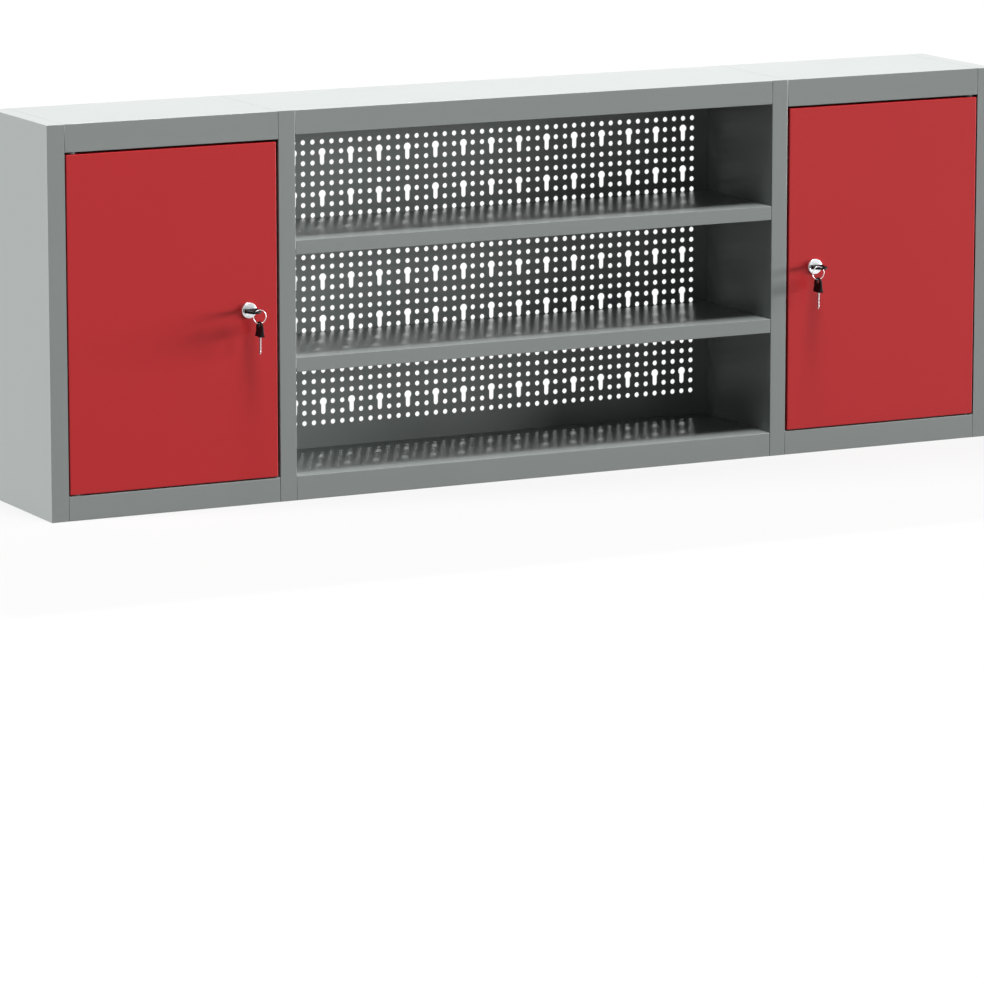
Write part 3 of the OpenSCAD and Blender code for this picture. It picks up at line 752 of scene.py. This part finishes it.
def split_ring_tree():
    """A flat wire wound twice round, its turns half sunk into each other."""
    tree, build, given = new_group("split_ring", "GeometryNodeTree", (
        ("Geometry", "Geometry"), ("Ring Radius", "Float"), ("Wire Width", "Float"),
        ("Wire Thickness", "Float"), ("Material", "Material"),
    ), (("Geometry", "Geometry"),))
    radius, thickness = given["Ring Radius"], given["Wire Thickness"]
    coil = build.add("GeometryNodeCurveSpiral", {
        "Resolution": RING_STEPS, "Rotations": 2.0, "Start Radius": radius,
        "End Radius": radius, "Height": thickness,
    }).outputs[0]
    flat_coil = build.add("GeometryNodeSetCurveNormal", {"Curve": coil}, mode="Z_UP").outputs[0]

    # A circle of diameter 1, scaled to the wire's section
    inputs = {"X": given["Wire Width"], "Y": thickness, "Z": 1.0}
    section = build.add("ShaderNodeCombineXYZ", inputs).outputs[0]
    inputs = {"Geometry": circle(build, WIRE_POINTS, 0.5), "Scale": section}
    wire = build.add("GeometryNodeTransform", inputs).outputs[0]
    inputs = {"Curve": flat_coil, "Profile Curve": wire, "Fill Caps": True}
    tube = build.add("GeometryNodeCurveToMesh", inputs).outputs[0]
    centred = shifted(build, tube, Z=build.math("MULTIPLY", thickness, -0.5))
    finish_upright(build, centred, given["Material"])
    return tree


# ---- Operators ----

class CABINET_OT_materials(bpy.types.Operator):
    """Make the coats, platings and mouldings"""

    bl_idname = "cabinet.materials"
    bl_label = "Materials"

    def execute(self, context):
        make_materials(context.scene.cabinet_sheet, context.scene.cabinet_lock)
        return {"FINISHED"}


class CABINET_OT_carcass(bpy.types.Operator):
    """Fold the carcass, the backs of the door bays and the shelves from sheet"""

    bl_idname = "cabinet.carcass"
    bl_label = "Carcass and Shelves"

    def execute(self, context):
        for node in CARCASS_SHEETS + SHELF_SHEETS:
            folded_sheet(node, CABINET, "grey_coat")
        return {"FINISHED"}


class CABINET_OT_perforated_back(bpy.types.Operator):
    """Punch the centre bay's back with hook holes and keyholes"""

    bl_idname = "cabinet.perforated_back"
    bl_label = "Perforated Back"

    def execute(self, context):
        thickness = context.scene.cabinet_sheet.thickness
        holes = context.scene.cabinet_perforation
        node = "perforated_back_panel"
        low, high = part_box(node)
        mesh = grown_mesh("perforated_back_sheet", perforated_sheet_tree(), {
            "Width": high.x - low.x, "Height": high.z - low.z, "Low Margin": holes.low_margin,
            "Pitch": holes.pitch, "Hole Radius": holes.hole_radius,
            "Head Radius": holes.head_radius, "Slot Width": holes.slot_width,
            "Thickness": thickness, "Rim": high.y - low.y - thickness,
            "Cells Across": holes.cells_across, "Cells Up": holes.cells_up,
            "Material": bpy.data.materials["grey_coat"],
        }, ((low.x + high.x) / 2, low.y, (low.z + high.z) / 2))
        place_piece(new_object("perforated_back_sheet", mesh), CABINET, node)
        return {"FINISHED"}


class CABINET_OT_doors(bpy.types.Operator):
    """Fold the doors and their stiffeners, and add their pins, bushes and bumpers"""

    bl_idname = "cabinet.doors"
    bl_label = "Doors and Hinges"

    def execute(self, context):
        for side in SIDES:
            door = side + "_door"
            folded_sheet(side + "_door_skin", door, "red_coat")
            folded_sheet(side + "_door_stiffener", door, "red_coat")
            machined_part(side + "_hinge_pins", door, "key_steel", radius=0.15 * MM)
        machined_part("hinge_bushes", CABINET, "bush_nylon", radius=0.12 * MM)
        machined_part(
            "door_bumpers", CABINET, "bumper_rubber", radius=0.3 * MM, facets=3,
        )
        return {"FINISHED"}


class CABINET_OT_locks(bpy.types.Operator):
    """Finish the lock housings, nuts, plugs, cams and screws"""

    bl_idname = "cabinet.locks"
    bl_label = "Locks"

    def execute(self, context):
        edge = context.scene.cabinet_lock.edge_radius
        for side in SIDES:
            door, plug = side + "_door", side + "_lock_plug"
            machined_part(side + "_lock_housing", door, "lock_chrome", edge)
            machined_part(side + "_lock_nut", door, "key_steel", edge)
            machined_part(side + "_lock_plug", plug, "lock_chrome", edge)
            machined_part(side + "_lock_cam", plug, "key_steel", edge)
            machined_part(side + "_cam_screw", plug, "key_steel", edge)
        return {"FINISHED"}


class CABINET_OT_keys(bpy.types.Operator):
    """Cut the keys, mould their bows and wind the rings"""

    bl_idname = "cabinet.keys"
    bl_label = "Keys and Rings"

    def execute(self, context):
        lock = context.scene.cabinet_lock
        tree = split_ring_tree()
        for side in SIDES:
            self.make_key(lock, side + "_key")
            self.make_key(lock, side + "_spare_key")
            self.wind_ring(lock, side + "_key_ring", tree)
        return {"FINISHED"}

    def make_key(self, lock, key):
        machined_part(
            key + "_blade", key, "key_steel", radius=0.12 * MM,
            margin=lock.blade_margin, depth=lock.groove_depth,
        )
        machined_part(
            key + "_bow", key, "bow_plastic", lock.bow_radius, facets=4,
            margin=lock.bow_rim, depth=lock.groove_depth,
        )

    def wind_ring(self, lock, node, tree):
        low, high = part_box(node)
        mesh = grown_mesh(node + "_wire", tree, {
            "Ring Radius": lock.ring_radius, "Wire Width": lock.wire_width,
            "Wire Thickness": lock.wire_thickness,
            "Material": bpy.data.materials["key_steel"],
        }, (low + high) / 2)
        mesh.shade_smooth()
        mesh.set_sharp_from_angle(angle=WIRE_SHARP)
        place_piece(new_object(node + "_wire", mesh), node, node)


class CABINET_OT_stage(bpy.types.Operator):
    """Lay the floor and set the camera, the sky and the lamps"""

    bl_idname = "cabinet.stage"
    bl_label = "Stage"

    def execute(self, context):
        stage = context.scene.cabinet_stage
        self.lay_floor(stage)
        self.set_sky(context.scene, stage)
        self.set_lamps(stage)
        self.set_camera(context.scene, stage)
        context.scene.view_settings.view_transform = "Standard"
        return {"FINISHED"}

    def lay_floor(self, stage):
        half = FLOOR_HALF_WIDTH
        shell = bmesh.new()
        corners = ((-half, -half), (half, -half), (half, half), (-half, half))
        shell.faces.new([shell.verts.new((x, y, 0.0)) for x, y in corners])
        mesh = bpy.data.meshes.new("floor")
        shell.to_mesh(mesh)
        shell.free()
        mesh.materials.append(self.floor_material(stage))
        new_object("floor", mesh)

    def floor_material(self, stage):
        material = bpy.data.materials.new("pale_floor")
        material.use_nodes = True
        nodes = material.node_tree.nodes
        build = TreeBuilder(material.node_tree)
        shader = nodes["Principled BSDF"]
        seen = seen_directly(build)
        tone = build.add("ShaderNodeMix", {
            "Factor": seen, COLOUR_A: linear(stage.floor), COLOUR_B: linear(stage.floor_seen),
        }, data_type="RGBA").outputs[COLOUR_RESULT]
        build.link(tone, shader.inputs["Base Color"])
        shader.inputs["Roughness"].default_value = 0.9
        shader.inputs["Specular IOR Level"].default_value = 0.1
        white = build.add("ShaderNodeEmission", {"Color": WHITE, "Strength": 1.0}).outputs[0]
        glow = build.math("MULTIPLY", seen, stage.floor_glow)
        mixed = build.add("ShaderNodeMixShader", {0: glow, 1: shader.outputs[0], 2: white})
        build.link(mixed.outputs[0], nodes["Material Output"].inputs["Surface"])
        return material

    def set_sky(self, scene, stage):
        world = bpy.data.worlds.new("studio_sky")
        scene.world = world
        world.use_nodes = True
        build = TreeBuilder(world.node_tree)
        background = world.node_tree.nodes["Background"]
        background.inputs["Color"].default_value = WHITE
        lift = build.math("MULTIPLY", seen_directly(build), 1.0 - stage.fill)
        build.link(build.math("ADD", lift, stage.fill), background.inputs["Strength"])

    def set_lamps(self, stage):
        for name, turn, height, softness in LAMPS:
            turn, height = math.radians(turn), math.radians(height)
            away = Vector((
                math.sin(turn) * math.cos(height),
                -math.cos(turn) * math.cos(height),
                math.sin(height),
            ))
            lamp = bpy.data.lights.new(name + "_lamp", "SUN")
            lamp.energy = math.pi * getattr(stage, name)
            lamp.angle = math.radians(softness)
            made = new_object(name + "_lamp", lamp)
            made.location = LAMP_DISTANCE * away
            made.rotation_euler = away.to_track_quat("Z", "Y").to_euler()

    def set_camera(self, scene, stage):
        data = bpy.data.cameras.new("camera")
        data.lens = stage.lens
        data.sensor_width = 36.0
        data.clip_end = 200.0
        camera = new_object("camera", data)
        look = Vector((
            math.sin(stage.turn) * math.cos(stage.rise),
            math.cos(stage.turn) * math.cos(stage.rise),
            -math.sin(stage.rise),
        ))
        camera.location = Vector(stage.aim) - stage.distance * look
        camera.rotation_euler = look.to_track_quat("-Z", "Y").to_euler()
        scene.camera = camera


OPERATORS = (
    CABINET_OT_stage, CABINET_OT_materials, CABINET_OT_carcass, CABINET_OT_perforated_back,
    CABINET_OT_doors, CABINET_OT_locks, CABINET_OT_keys,
)


class CABINET_PT_panel(bpy.types.Panel):
    """Lists the steps that dress the cabinet"""

    bl_label = "Wall Tool Cabinet"
    bl_idname = "CABINET_PT_panel"
    bl_space_type = "VIEW_3D"
    bl_region_type = "UI"
    bl_category = "Cabinet"

    def draw(self, context):
        for operator in OPERATORS:
            self.layout.operator(operator.bl_idname)
        for name, group in GROUPS.items():
            box = self.layout.box()
            for setting in group.__annotations__:
                box.prop(getattr(context.scene, name), setting)


def register():
    for name, group in GROUPS.items():
        bpy.utils.register_class(group)
        setattr(bpy.types.Scene, name, PointerProperty(type=group))
    for operator in OPERATORS:
        bpy.utils.register_class(operator)
    bpy.utils.register_class(CABINET_PT_panel)


def unregister():
    bpy.utils.unregister_class(CABINET_PT_panel)
    for operator in reversed(OPERATORS):
        bpy.utils.unregister_class(operator)
    for name, group in GROUPS.items():
        delattr(bpy.types.Scene, name)
        bpy.utils.unregister_class(group)


def main():
    register()
    bpy.ops.cabinet.stage()
    bpy.ops.cabinet.materials()
    bpy.ops.cabinet.carcass()
    bpy.ops.cabinet.perforated_back()
    bpy.ops.cabinet.doors()
    bpy.ops.cabinet.locks()
    bpy.ops.cabinet.keys()


if __name__ == "__main__":
    main()
